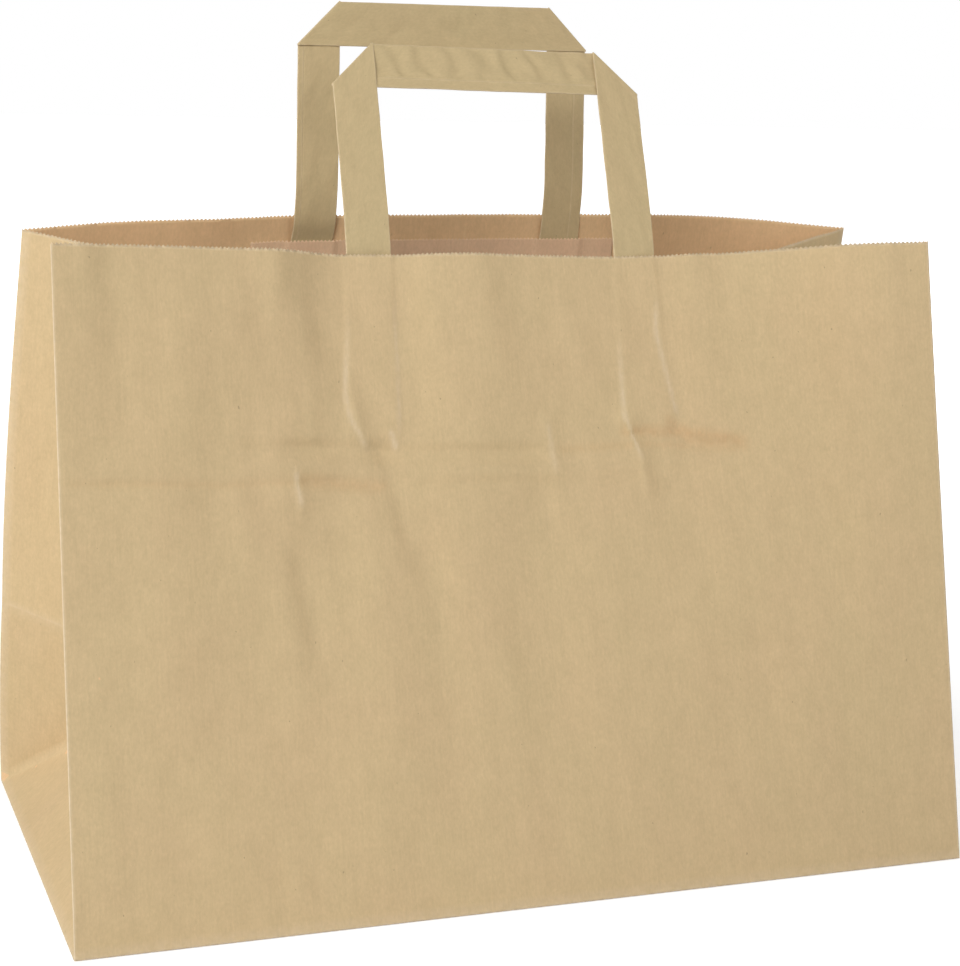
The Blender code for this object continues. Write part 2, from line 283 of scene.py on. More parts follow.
def distance(x, s, line):
    """Distance to a polyline on the sheet, and the share along it.

    The line runs down or to the right, and the distance is below 0 on its left or lower side.
    """
    best = np.full_like(x, 1e9)
    share = np.zeros_like(x)
    side = np.ones_like(x)
    last = len(line) - 1
    for i in range(last):
        (ax, ay), (bx, by) = line[i], line[i + 1]
        dx, dy = bx - ax, by - ay
        t = np.clip(((x - ax) * dx + (s - ay) * dy) / (dx * dx + dy * dy), 0, 1)
        d = np.hypot(x - ax - t * dx, s - ay - t * dy)
        nearer = d < best
        best = np.where(nearer, d, best)
        share = np.where(nearer, (i + t) / last, share)
        side = np.where(nearer, np.where(dx * (s - ay) - dy * (x - ax) < 0, -1.0, 1.0), side)
    return best * side, share


# Ridges and troughs of the front panel: line, reach on its left or lower side, reach on the other
# side, and height, all in millimetres
FRONT_MARKS = [
    ([(-62, 166), (-57, 139), (-55, 110), (-56, 81), (-64, 30)], 15.0, 12.0, 2.1),
    ([(-37, 146), (-35, 122), (-32, 104), (-30, 86), (-27, 46)], 8.0, 11.0, -1.3),
    ([(-88, 136), (-84, 118), (-80, 96)], 4.5, 9.0, -0.9),
    ([(7, 150), (6, 113), (5, 92), (6, 60)], 9.0, 11.0, -0.6),
    ([(14, 158), (16, 140), (16, 120), (14, 50)], 20.0, 13.0, -1.7),
    ([(47, 172), (44, 128), (42, 76)], 12.0, 16.0, 1.0),
    ([(88, 150), (92, 120), (94, 90)], 16.0, 20.0, 0.7),
    ([(-52, 178), (-48, 165), (-45, 153), (-42, 132)], 3.8, 7.0, -0.9),
    ([(50, 182), (53.5, 173), (56.5, 165.5), (57.5, 148)], 1.7, 5.5, 0.95),
    ([(-61, 192), (-59, 179), (-56, 170.5)], 1.5, 5.0, 0.65),
    ([(-47, 180), (-43.5, 169.5)], 1.4, 3.0, 0.60),
    ([(53, 173.5), (64, 175.5), (75, 174)], 2.4, 2.0, -0.65),
    ([(71, 180), (78, 171.5), (86, 167.8), (99, 169.5)], 3.0, 2.0, -1.3),
    ([(66, 163), (84, 161), (100, 161)], 3.0, 3.0, 0.6),
    ([(-108, 172), (-60, 171.5), (-20, 169), (28, 168)], 4.0, 2.4, -1.2),
    ([(-108, 165), (-60, 164.5), (-20, 162), (30, 161)], 3.0, 2.4, 0.55),
    ([(60, 168.5), (80, 168), (112, 167.5)], 1.8, 1.8, -0.35),
    ([(-171, 163), (-114, 159.5), (-82, 159)], 2.4, 1.5, -0.55),
    ([(-84, 159.5), (-66, 159), (-51, 157.5)], 3.0, 1.8, -0.9),
    ([(-52, 157), (30, 157), (70, 160)], 2.6, 1.8, -0.45),
    ([(-86.5, 166), (-85, 156), (-84, 148)], 1.6, 4.5, 0.60),
    ([(16.5, 186), (19.5, 172), (20.4, 158), (20, 142)], 1.8, 6.0, 0.75),
    ([(-30, 176), (-28, 171), (-24, 167)], 1.8, 3.0, 0.35),
    ([(-103, 24), (-98, 9), (-92, -1)], 3.6, 2.6, -1.1),
    ([(-97, 28), (-91, 10), (-86, -1)], 3.0, 5.0, 0.7),
    ([(-173, 83), (-166, 90), (-158, 97)], 1.8, 1.8, 0.55),
    ([(60, 236), (63, 214), (66, 190)], 14.0, 14.0, -0.4),
    ([(112, 60), (118, 30), (125, 4)], 9.0, 9.0, 0.6),
    ([(-130, 225), (-140, 160), (-142, 90)], 18.0, 18.0, 0.8),
    ([(-98, 232), (-94, 205), (-90, 186)], 6.0, 6.0, -0.6),
    ([(60, 60), (66, 34), (68, 8)], 10.0, 10.0, -0.6),
]


def leg_zone(x, s):
    """Where the two legs of the front handle press the panel out, from 0 to 1.

    Each leg's edges drift apart towards its foot.
    """
    drift = (241.6 - s) / 63.0
    left = edge_of(x + 57.7 + 6.2 * drift, 0.75) - edge_of(x + 38.9 + 2.6 * drift, 0.55)
    right = edge_of(x - 55.2 + 3.4 * drift, 0.9) - edge_of(x - 73.0 - 1.6 * drift ** 2, 0.5)
    return (left + right) * edge_of(s - 175.0, 2.2)


def side_hold(x):
    """How much of a panel's relief is left at x: none at its side folds."""
    return np.clip((HALF_WIDTH - np.abs(x)) / SIDE_FADE, 0, 1) ** 1.2


def front_relief(x, s):
    """Millimetres outwards: the pressed legs and patch, then creases and soft waves."""
    out = FRONT_LEG_PRESS * leg_zone(x, s)
    patch = (edge_of(x + 79.5, 0.8) - edge_of(x - 82.0, 0.8)) * edge_of(s - 171.5, 0.9)
    out = out + PATCH_PRESS * patch
    for line, low, high, height in FRONT_MARKS:
        d, share = distance(x, s, line)
        taper = np.clip(np.minimum(share, 1 - share) * 6 + 0.25, 0, 1)
        fine = 0.22 if min(low, high) < 4 else 0.0
        uneven = 1.0 + fine * COCKLE(x * 0.9 + 60, s * 0.9 + 20)
        out = out + height * uneven * taper * np.exp(-(d / np.where(d < 0, low, high)) ** 2)
    out = out + COCKLE_HEIGHT * COCKLE(x, s) + FRONT_SWELL * SWELL(x, s)
    foot = np.clip(s / FOOT_FADE, 0, 1)
    return out * side_hold(x) * (0.15 + 0.85 * foot) * foot ** 0.5


def back_relief(x, s):
    """The back panel: soft waves, the pressed patch and legs, and the lap that closes the tube."""
    patch = edge_of(x + PATCH_HALF, 0.8) - edge_of(x - PATCH_HALF, 0.8)
    patch = patch * edge_of(s - PATCH_FOOT, 0.9)
    from_middle = np.abs(x + 3.7)
    legs = edge_of(from_middle - 44.9, 1.8) - edge_of(from_middle - 62.3, 1.8)
    legs = legs * edge_of(s - 175, 2)
    lap = edge_of(x + LAP_HALF, 0.18) - edge_of(x - LAP_HALF, 0.18)
    out = PATCH_PRESS * patch + BACK_LEG_PRESS * legs + BACK_SWELL * SWELL(x + 400, s)
    out = out + 0.2 * COCKLE(x + 300, s)
    foot = np.clip(s / FOOT_FADE, 0, 1)
    bend = 1 - 0.75 * np.exp(-((s - CREASE) / 9.0) ** 2)
    return out * side_hold(x) * foot * bend + LAP_PRESS * lap * np.clip((s + 3) / 3, 0, 1)


def gusset_relief(side, g, s):
    """The gussets: soft waves that die out at every fold, and a faint fold at the patches' foot."""
    middle = np.abs(g - HALF_DEPTH)
    slope = np.where(s < CREASE, np.abs(HALF_DEPTH - middle - s) / 1.414, FAR)
    hold = np.minimum(np.minimum(g, DEPTH - g), np.where(s > CREASE, middle, FAR))
    cross = np.abs(s - CREASE) + np.where(middle < CREASE - s, FAR, 0.0)
    hold = np.minimum(np.minimum(hold, slope), cross)
    hold = np.clip(hold / 16.0, 0, 1) * np.clip(s / 14.0, 0, 1)
    wave = GUSSET_SWELL * SWELL(g + 700 * side, s) + COCKLE_HEIGHT * COCKLE(g + 900 * side, s)
    faint_fold = -0.25 * np.exp(-((s - 163.0 - 0.03 * g) / 2.2) ** 2)
    return wave * hold + faint_fold * np.clip(hold * 2, 0, 1)


def relief(u, s):
    """Millimetres outwards, for any place on the sheet."""
    u = np.mod(u, GIRTH)
    out = front_relief(u - HALF_WIDTH, s)
    out = np.where(u > RIGHT, gusset_relief(1, u - RIGHT, s), out)
    out = np.where(u > BACK, back_relief(HALF_WIDTH - (u - BACK), s), out)
    return np.where(u > LEFT, gusset_relief(-1, DEPTH - (u - LEFT), s), out)


def as_grids(*values):
    """Numbers and arrays as arrays of one common shape."""
    return np.broadcast_arrays(*(np.asarray(value, float) for value in values))


def skin(u, s, depth=0.0):
    """A point of the paper, with its relief, at a depth in from the outer face."""
    u, s, depth = as_grids(u, s, depth)
    outwards = relief(u, np.clip(s, 0, None)) - depth
    return rounded(u, s) + normals(u, s) * outwards[..., None]


def teeth(along, depth=TOOTH_DEPTH):
    """How far a sawtooth cut reaches down from the edge."""
    share = np.mod(along / TOOTH_PITCH, 1.0)
    return depth * np.abs(2 * share - 1)


def on_slanting_crease(u, s):
    """Whether a place on the sheet is on one of the two slanting creases of a gusset."""
    g = (u - RIGHT) if u <= BACK + 0.1 else (u - LEFT)
    inside = -0.01 <= g <= DEPTH + 0.01 and s <= CREASE + 0.01
    return inside and min(abs(g - s), abs(DEPTH - g - s)) < 0.01


MM = 0.001
# Places of the four edges of a grid, in the order that lets their faces look out
RING = (np.s_[0, :], np.s_[-1, ::-1], np.s_[::-1, 0], np.s_[:, -1])


class Paper:
    """Collects one mesh: points, faces, sheet coordinates, pale and reddish marks with painted
    highlights, and the side each face is on.
    """

    def __init__(self):
        self.points = []
        self.marks_and_highlights = []
        self.faces = []
        self.kinds = []
        self.places = []
        self.total = 0

    def add(self, points, marks_and_highlights=0.0):
        """Add a grid of points and give back the grid of their numbers."""
        points = np.asarray(points, float)
        flat = points.reshape(-1, 3)
        fold_and_highlight_level = np.broadcast_to(np.asarray(marks_and_highlights, float), points.shape[:-1])
        self.points.append(flat)
        self.marks_and_highlights.append(fold_and_highlight_level.reshape(-1))
        index = np.arange(self.total, self.total + len(flat)).reshape(points.shape[:-1])
        self.total += len(flat)
        return index

    def grid(self, index, place, kind, turned=False):
        """Quads between rows of points. place holds each point's sheet coordinates."""
        corners = [index[:-1, :-1], index[:-1, 1:], index[1:, 1:], index[1:, :-1]]
        spots = [place[:-1, :-1], place[:-1, 1:], place[1:, 1:], place[1:, :-1]]
        if turned:
            corners.reverse()
            spots.reverse()
        self.faces.extend(np.stack(corners, -1).reshape(-1, 4).tolist())
        self.places.extend(np.stack(spots, -2).reshape(-1, 4, 2).tolist())
        self.kinds.extend([kind] * corners[0].size)

    def split_creases(self):
        """Cut the quads that a gusset's slanting creases cross, along the crease."""
        faces, places, kinds = [], [], []
        for face, place, kind in zip(self.faces, self.places, self.kinds):
            on = [on_slanting_crease(u, s) for u, s in place]
            first = 0 if on[0] and on[2] else 1
            if on[first] and on[first + 2]:
                pieces = ((first, first + 1, first + 2), (first + 2, (first + 3) % 4, first))
            else:
                pieces = ((0, 1, 2, 3),)
            for corners in pieces:
                faces.append([face[k] for k in corners])
                places.append([place[k] for k in corners])
                kinds.append(kind)
        self.faces, self.places, self.kinds = faces, places, kinds

    def polygon(self, index, place, kind):
        """One face of any number of corners."""
        self.faces.append([int(i) for i in index])
        self.places.append([[float(a), float(b)] for a, b in place])
        self.kinds.append(kind)

    def strip(self, first, second, first_place, second_place, kind):
        """Quads between two lines of points."""
        self.grid(np.stack([first, second]), np.stack([first_place, second_place]), kind)

    def rim(self, near, far, place, kind):
        """The four narrow sides of a thin sheet."""
        for edge in RING:
            self.strip(far[edge], near[edge], place[edge], place[edge], kind)

    def slab(self, near, far, place, kinds):
        """A closed thin sheet between two grids of points. near faces out."""
        a = self.add(near)
        b = self.add(far)
        self.grid(a, place, kinds[0])
        self.grid(b, place, kinds[1], turned=True)
        self.rim(a, b, place, kinds[2])

    def piece(self, name, materials):
        """Make the object, and let it ride on the one body."""
        mesh = bpy.data.meshes.new(name)
        mesh.from_pydata((np.concatenate(self.points) * MM).tolist(), [], self.faces)
        layer = mesh.uv_layers.new(name="sheet")
        flat = [c for face in self.places for spot in face for c in spot]
        layer.data.foreach_set("uv", np.asarray(flat) * MM)
        mesh.polygons.foreach_set("material_index", self.kinds)
        mesh.polygons.foreach_set("use_smooth", [True] * len(self.faces))
        fold_and_highlight_level = mesh.attributes.new("marks_and_highlights", "FLOAT", "POINT")
        fold_and_highlight_level.data.foreach_set("value", np.concatenate(self.marks_and_highlights))
        for paper in materials:
            mesh.materials.append(paper)
        mesh.validate()
        mesh.update()
        made = bpy.data.objects.new(name, mesh)
        bpy.context.scene.collection.objects.link(made)
        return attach(made, "root")


# Materials


class Nodes:
    """Adds nodes to the tree of a material or a world, and links them."""

    def __init__(self, owner, main):
        owner.use_nodes = True
        self.tree = owner.node_tree
        self.main = self.tree.nodes[main]

    def add(self, kind, **settings):
        node = self.tree.nodes.new(kind)
        for key, value in settings.items():
            setattr(node, key, value)
        return node

    def link(self, source, target):
        self.tree.links.new(source, target)

    def noise(self, where, scale, stretch, detail=2.0, rough=0.5, distort=0.0):
        """Noise over the sheet, with a scale per millimetre and a stretch across and along."""
        size = 1000 * scale
        mapping = self.add("ShaderNodeMapping")
        mapping.inputs["Scale"].default_value = (size * stretch[0], size * stretch[1], 1.0)
        self.link(where, mapping.inputs["Vector"])
        noise = self.add("ShaderNodeTexNoise", noise_dimensions="2D")
        noise.inputs["Scale"].default_value = 1.0
        noise.inputs["Detail"].default_value = detail
        noise.inputs["Roughness"].default_value = rough
        noise.inputs["Distortion"].default_value = distort
        self.link(mapping.outputs["Vector"], noise.inputs["Vector"])
        return noise.outputs["Fac"]

    def remap(self, value, low, high, to_low, to_high):
        """A value from one range in another, and no further than its ends."""
        node = self.add("ShaderNodeMapRange")
        names = ("From Min", "From Max", "To Min", "To Max")
        for name, number in zip(names, (low, high, to_low, to_high)):
            node.inputs[name].default_value = number
        self.link(value, node.inputs["Value"])
        return node.outputs["Result"]

    def feed(self, socket, value):
        """Link a socket to an output, or set it to a colour or a number."""
        if isinstance(value, bpy.types.NodeSocket):
            self.link(value, socket)
        elif isinstance(value, tuple):
            socket.default_value = (*value, 1.0)
        else:
            socket.default_value = value

    def blend(self, share, first, second, mode="MIX"):
        """Two colours mixed by a share."""
        node = self.add("ShaderNodeMix", data_type="RGBA", blend_type=mode)
        for place, value in ((0, share), (6, first), (7, second)):
            self.feed(node.inputs[place], value)
        return node.outputs[2]

    def math(self, mode, first, second):
        node = self.add("ShaderNodeMath", operation=mode)
        self.feed(node.inputs[0], first)
        self.feed(node.inputs[1], second)
        return node.outputs[0]

    def seen(self):
        """1 for what the camera sees, also in a mirror or through glass, and 0 for other light."""
        path = self.add("ShaderNodeLightPath")
        direct = self.math("MAXIMUM", path.outputs["Is Camera Ray"], path.outputs["Is Glossy Ray"])
        return self.math("MAXIMUM", direct, path.outputs["Is Transmission Ray"])


# The paper's grain: the strength of its relief, and its height in metres
GRAIN_STRENGTH = 0.22
GRAIN_HEIGHT = 0.0002
ROUGHNESS = 0.8
SPECULAR = 0.28


def kraft(name, colour, pale, warm, ribs=1.0):
    """Unbleached kraft paper: mottled pulp, fine ribs, fibres, dark specks, pale fold lines and
    painted highlights, and reddish lines.
    """
    material = bpy.data.materials.new(name)
    n = Nodes(material, "Principled BSDF")
    where = n.add("ShaderNodeUVMap", uv_map="sheet").outputs["UV"]
    clouds = n.noise(where, 0.030, (1.0, 0.7), 3.0, 0.55)
    mottle = n.noise(where, 0.16, (1.0, 0.7), 3.0, 0.6)
    grain = n.noise(where, 1.1, (1.0, 0.55), 2.0, 0.6)
    rib = n.noise(where, 1.0, (1.0, 0.045), 1.0, 0.5, 0.3)
    fibre = n.noise(where, 0.9, (2.2, 0.32), 3.0, 0.7, 1.2)
    flecks = n.noise(where, 0.42, (1.0, 0.8), 2.0, 0.7)
    specks = n.noise(where, 0.55, (1.0, 0.6), 1.0, 0.5)
    tone = n.blend(n.remap(clouds, 0.3, 0.7, 0.0, 0.5), colour, warm)
    darker = n.blend(1.0, tone, (0.965, 0.965, 0.96), "MULTIPLY")
    lighter = n.blend(1.0, tone, (1.035, 1.035, 1.04), "MULTIPLY")
    tone = n.blend(n.remap(mottle, 0.25, 0.75, 0.0, 1.0), darker, lighter)
    for source, amount in ((grain, 0.08), (rib, 0.035 * ribs), (fibre, 0.07), (flecks, 0.05)):
        light = n.remap(source, 0.25, 0.75, 1 - amount / 2, 1 + amount / 2)
        grey = n.add("ShaderNodeCombineColor")
        for i in range(3):
            n.link(light, grey.inputs[i])
        tone = n.blend(1.0, tone, grey.outputs[0], "MULTIPLY")
    dark = tuple(c * 0.45 for c in colour)
    tone = n.blend(n.remap(specks, 0.845, 0.875, 0.0, 0.55), tone, dark)
    fold_and_highlight_level = n.add("ShaderNodeAttribute", attribute_name="marks_and_highlights").outputs["Fac"]
    patchy = n.remap(n.noise(where, 0.35, (1.0, 1.0), 2.0), 0.3, 0.6, 0.55, 1.0)
    # Paler above 0: pale fold lines, and painted highlights on the front panel and along the rim's
    # teeth
    tone = n.blend(n.math("MULTIPLY", n.remap(fold_and_highlight_level, 0.0, 1.0, 0.0, 1.0), patchy), tone, pale)
    # Reddish and darker below 0, along the front panel's trough creases
    red = n.blend(1.0, tone, (0.97, 0.86, 0.80), "MULTIPLY")
    tone = n.blend(n.math("MULTIPLY", n.remap(fold_and_highlight_level, 0.0, -1.0, 0.0, 1.0), patchy), tone, red)
    n.link(tone, n.main.inputs["Base Color"])
    rough = n.remap(mottle, 0.2, 0.8, ROUGHNESS - 0.05, ROUGHNESS + 0.05)
    n.link(rough, n.main.inputs["Roughness"])
    n.main.inputs["Specular IOR Level"].default_value = SPECULAR
    height = n.math("ADD", n.math("MULTIPLY", rib, 0.22 * ribs), n.math("MULTIPLY", fibre, 0.6))
    height = n.math("ADD", height, n.math("MULTIPLY", grain, 0.45))
    bump = n.add("ShaderNodeBump")
    bump.inputs["Strength"].default_value = GRAIN_STRENGTH
    bump.inputs["Distance"].default_value = GRAIN_HEIGHT
    n.link(height, bump.inputs["Height"])
    n.link(bump.outputs["Normal"], n.main.inputs["Normal"])
    return material


# Each paper's colour, that of its pale fold lines and painted highlights, and that of its warmer
# clouds
OUTSIDE = kraft("kraft outside", (0.556, 0.420, 0.234), (0.76, 0.64, 0.48), (0.572, 0.418, 0.238))
# The inside paper is lighter and warmer than the outside: painted bounce light and painted light
# through the paper
INSIDE_PAINTED_BOUNCE = kraft("kraft inside painted bounce light", (0.680, 0.462, 0.252), (0.72, 0.55, 0.36), (0.690, 0.448, 0.245))
CUT_EDGE = kraft("kraft cut edge", (0.640, 0.510, 0.330), (0.70, 0.57, 0.40), (0.63, 0.50, 0.32))
STRIP_PAPER = kraft("kraft strip paper", (0.505, 0.392, 0.214), (0.70, 0.57, 0.39),
                    (0.515, 0.386, 0.214), 0.5)
# The patch paper's own pinkish tone, lightened as painted bounce light in the shade of the front
# panel
PATCH_PAPER_PAINTED_LIGHTER = kraft("kraft patch paper painted lighter", (0.700, 0.485, 0.305), (0.76, 0.58, 0.41),
                    (0.70, 0.46, 0.30))
FLAP_PAPER = kraft("kraft flap paper", (0.555, 0.412, 0.228), (0.70, 0.57, 0.40),
                   (0.575, 0.405, 0.23))


# The body

# How finely its sheet is divided: the creased middle of the front, the rest of it, and the back
FINE_STEP = 1.12
FRONT_STEP = 2.6
BACK_STEP = 5.2
# Cells from a gusset's corner fold to its middle crease
GUSSET_CELLS = 19
# The first columns after a fold, close together, so that it is round
FOLD_NEAR = 0.6
FOLD_FAR = 1.4


def span(start, end, step):
    """Evenly spaced places from start up to, and without, end."""
    count = max(1, round((end - start) / step))
    return [start + (end - start) * i / count for i in range(count)]


def body_columns():
    """Places round the tube: close together at the folds and where the front panel is creased."""
    half = HALF_WIDTH
    start = [0.0, FOLD_NEAR, FOLD_FAR]
    end = [WIDTH - FOLD_FAR, WIDTH - FOLD_NEAR]
    places = start + span(3.0, half - 112, FRONT_STEP) + span(half - 112, half + 104, FINE_STEP)
    places += span(half + 104, WIDTH - FOLD_FAR, FRONT_STEP) + end
    cells = [CREASE * i / GUSSET_CELLS for i in range(2 * GUSSET_CELLS + 1)]
    places += [RIGHT, RIGHT + FOLD_NEAR] + [RIGHT + g for g in cells[1:-1]] + [BACK - FOLD_NEAR]
    lap_left = [half - 8.3, half - 7.7, half - 7.3, half - 6.8, half - 2.3]
    lap_right = [half + 2.3, half + 6.8, half + 7.3, half + 7.7]
    behind = start + span(3.0, half - 8.3, BACK_STEP) + lap_left + lap_right
    behind += span(half + 8.3, WIDTH - 3, BACK_STEP) + [WIDTH - 3]
    places += [BACK + b for b in behind + end]
    places += [LEFT, LEFT + FOLD_NEAR] + [LEFT + g for g in cells[1:-1]] + [GIRTH - FOLD_NEAR]
    return np.array(places + [GIRTH])


def body_rows():
    """Places up the tube, from the paper turned under the bottom to the foot of the rim's teeth."""
    low = [-TURN_UNDER, -1.6, -0.7, 0.0, 0.7]
    low += [CREASE * i / GUSSET_CELLS for i in range(1, GUSSET_CELLS)]
    low += [CREASE - 0.7, CREASE, CREASE + 0.7]
    high = span(95.0, 138.0, 3.1) + span(138.0, 188.0, FINE_STEP) + span(188.0, HEIGHT - 1.6, 2.7)
    return np.array(low + high + [HEIGHT - 1.6])


# Reddish, darker lines along the front panel's trough creases, and painted highlights along its
# ridges and the pressed legs' edges: line, width and amount
REDDISH_TROUGHS = [
    ([(52, 175), (75, 174.5), (99, 169.5)], 2.2, 0.75),
    ([(71, 179), (79, 170.5), (97, 168.8)], 1.8, 0.6),
    ([(-84, 159.5), (-51, 157.5)], 2.2, 0.5),
    ([(24, 169), (60, 170), (100, 167)], 1.6, 0.35),
    ([(-171, 163), (-114, 159.5), (-84, 159)], 1.2, 0.25),
]

# Painted highlights: pale lines along the front panel's ridges and the pressed legs' edges
PAINTED_HIGHLIGHTS = [
    ([(-59, 220), (-63.4, 190), (-62, 182), (-58.5, 175.5), (-55.5, 171)], 0.9, 0.30),
    ([(-39.5, 228), (-41, 195), (-42.4, 176)], 0.8, 0.22),
    ([(-46, 178), (-43.5, 170.5)], 0.9, 0.40),
    ([(53.5, 210), (51.8, 180), (54.5, 172), (57, 164)], 0.9, 0.32),
    ([(71.5, 225), (69.8, 214), (73.2, 190), (74.8, 179)], 0.9, 0.32),
    ([(18.8, 180), (20.4, 160)], 1.0, 0.20),
    ([(-86, 164), (-84.5, 150)], 1.0, 0.35),
]


def body_fold_marks_and_highlights(u, s):
    """Pale lines on the folds and painted highlights on the front panel's ridges and leg edges,
    above 0, and reddish, darker lines along its troughs, below 0.
    """
    u = np.mod(u, GIRTH)
    fold_and_highlight_level = np.zeros_like(u)
    reddening = np.zeros_like(u)
    for line, width, amount in REDDISH_TROUGHS:
        d, _ = distance(u - HALF_WIDTH, s, line)
        reddening = np.maximum(reddening, amount * np.exp(-(d / width) ** 2))
    above = np.clip((s + 2) / 2, 0, 1)
    for fold in (0.0, RIGHT, BACK, LEFT, GIRTH):
        fold_and_highlight_level = np.maximum(fold_and_highlight_level, 0.85 * np.exp(-((u - fold) / 0.55) ** 2) * above)
    for start in (RIGHT, LEFT):
        g = u - start
        there = (g >= 0) & (g <= DEPTH)
        middle = np.abs(g - HALF_DEPTH)
        crease = np.exp(-(middle / 0.8) ** 2) * (s > CREASE)
        cross = np.exp(-((s - CREASE) / 0.8) ** 2) * 0.4
        fold_and_highlight_level = np.where(there, np.maximum(fold_and_highlight_level, 0.5 * np.maximum(crease, cross)), fold_and_highlight_level)
    fold_and_highlight_level = np.maximum(fold_and_highlight_level, 0.75 * np.exp(-(s / 0.6) ** 2))
    # Painted highlights along the ridges and the legs' edges
    for line, width, amount in PAINTED_HIGHLIGHTS:
        d, share = distance(u - HALF_WIDTH, s, line)
        ends = np.clip(np.minimum(share, 1 - share) * 5 + 0.2, 0, 1)
        fold_and_highlight_level = np.maximum(fold_and_highlight_level, amount * ends * np.exp(-(d / width) ** 2))
    return np.clip(fold_and_highlight_level, 0, 1) - reddening * (fold_and_highlight_level < 0.1)


def build_body():
    """The folded tube: two grids of points a paper apart, and a row of teeth along the rim."""
    columns = body_columns()
    rows = body_rows()
    u, s = np.meshgrid(columns[:-1], rows)
    paper = Paper()
    fold_and_highlight_level = body_fold_marks_and_highlights(u, s)
    outer = paper.add(skin(u, s), fold_and_highlight_level)
    inner = paper.add(skin(u, s, PAPER), fold_and_highlight_level * 0.6)
    outer = np.concatenate([outer, outer[:, :1]], axis=1)
    inner = np.concatenate([inner, inner[:, :1]], axis=1)
    place = np.stack(np.meshgrid(columns, rows), -1)
    paper.grid(outer, place, 0)
    paper.grid(inner, place, 1, turned=True)
    paper.split_creases()
    paper.strip(inner[0], outer[0], place[0], place[0], 2)
    tips = np.arange(0, GIRTH + 0.1, TOOTH_PITCH / 2)
    cuts = np.unique(np.round(np.concatenate([columns, tips]), 4))
    height = HEIGHT - teeth(cuts)
    # A painted highlight: the outer face is paler along the sawtooth rim, the inner face a little
    top = paper.add(skin(cuts[:-1], height[:-1]), 0.35)
    top_in = paper.add(skin(cuts[:-1], height[:-1], PAPER), 0.1)
    top = np.append(top, top[0])
    top_in = np.append(top_in, top_in[0])
    spots = np.stack([cuts, height], -1)
    starts = np.searchsorted(cuts, np.round(columns, 4))
    for i in range(len(columns) - 1):
        run = list(range(starts[i], starts[i + 1] + 1))
        back_run = run[::-1]
        low = [place[-1, i], place[-1, i + 1]]
        paper.polygon([outer[-1, i], outer[-1, i + 1]] + [top[k] for k in back_run],
                      low + [spots[k] for k in back_run], 0)
        paper.polygon([inner[-1, i + 1], inner[-1, i]] + [top_in[k] for k in run],
                      low[::-1] + [spots[k] for k in run], 1)
    paper.strip(top, top_in, spots, spots, 2)
    made = paper.piece("bag_shell", [OUTSIDE, INSIDE_PAINTED_BOUNCE, CUT_EDGE])
    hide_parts("bag_body")


# The folded bottom

# How far the long flaps reach past the middle, and how far flaps stay from the folds and from the
# paper that is turned under
OUTER_LAP = 14.0
INNER_LAP = -14.4
FLAP_INSET = 1.0
FLAP_TUCK = 1.5
TURN_GAP = 0.2
# Where the flaps lie on the fields of unevenness and of colour, away from the walls
FLAP_PLACE = 500
SIDE_FLAP_PLACE = 900


def flap_grid(low_half, high_half, low_y, high_y, step=3.0):
    """Rows of (x, y) between two rows with these half widths."""
    rows = max(2, round(abs(high_y - low_y) / step) + 1)
    columns = max(2, round(max(low_half + low_half, high_half + high_half) / step) + 1)
    t = np.linspace(0, 1, rows)[:, None]
    k = np.linspace(0, 1, columns)[None, :]
    left = -low_half + (-high_half + low_half) * t
    right = low_half + (high_half - low_half) * t
    return left + (right - left) * k, low_y + (high_y - low_y) * t + 0 * k


def add_flap(paper, x, y, low, high, swell=0.0):
    """A flat flap between two heights, lifted a little unevenly by its swell."""
    lift = swell * (0.5 + 0.5 * COCKLE(x * 1.3 + 40, y * 1.3 + 90)) * 0.5
    near = np.stack([x, y, low + lift], -1)
    far = np.stack([x, y, high + lift], -1)
    place = np.stack([x + FLAP_PLACE, y], -1)
    if y[-1, 0] < y[0, 0]:
        near, far, place = near[:, ::-1], far[:, ::-1], place[:, ::-1]
    paper.slab(near[::-1], far[::-1], place[::-1], (0, 1, 2))


def build_bottom():
    """The flaps of the block bottom, from the outermost to the two side flaps inside the bag."""
    paper = Paper()
    for facing, lap in ((-1, OUTER_LAP), (1, INNER_LAP)):
        reach = HALF_DEPTH + lap
        x, y = flap_grid(HALF_WIDTH - FLAP_INSET, HALF_WIDTH - reach,
                         facing * (HALF_DEPTH - FLAP_INSET), facing * (HALF_DEPTH - reach))
        add_flap(paper, x, y, 0.0, 0.13)
    side = HALF_WIDTH - TURN_UNDER + TURN_GAP
    deep = HALF_DEPTH - TURN_UNDER + TURN_GAP
    x, y = flap_grid(side, side, -deep, deep, 4.0)
    add_flap(paper, x, y, 0.155, 0.30)
    end = HALF_WIDTH - HALF_DEPTH - OUTER_LAP
    x, y = flap_grid(end + 0.6, end + 0.6, HALF_DEPTH - FLAP_TUCK, -OUTER_LAP)
    add_flap(paper, x, y, 0.34, 0.48, 0.25)
    for facing in (-1, 1):
        half = HALF_DEPTH - FLAP_TUCK
        x, y = flap_grid(half, half, HALF_WIDTH - FLAP_TUCK, end)
        uneven = 0.12 * (0.5 + 0.5 * COCKLE(x, y + 50 * facing))
        place = np.stack([x + SIDE_FLAP_PLACE, y], -1)
        near = np.stack([facing * y, x, 0 * x + 0.52], -1)
        far = np.stack([facing * y, x, 0 * x + 0.66 + uneven], -1)
        if facing < 0:
            near, far, place = near[:, ::-1], far[:, ::-1], place[:, ::-1]
        paper.slab(near, far, place, (0, 1, 2))
    made = paper.piece("bag_bottom", [FLAP_PAPER, INSIDE_PAINTED_BOUNCE, CUT_EDGE])
    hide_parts("bag_body")


# The handles

# Steps in which a handle bends above the rim, and how far its legs follow the panel's skin
BEND_STEPS = 12
SKIN_FADE = 12.0
# A share of a fold's radius along both sheet directions
DIAGONAL = 0.7071


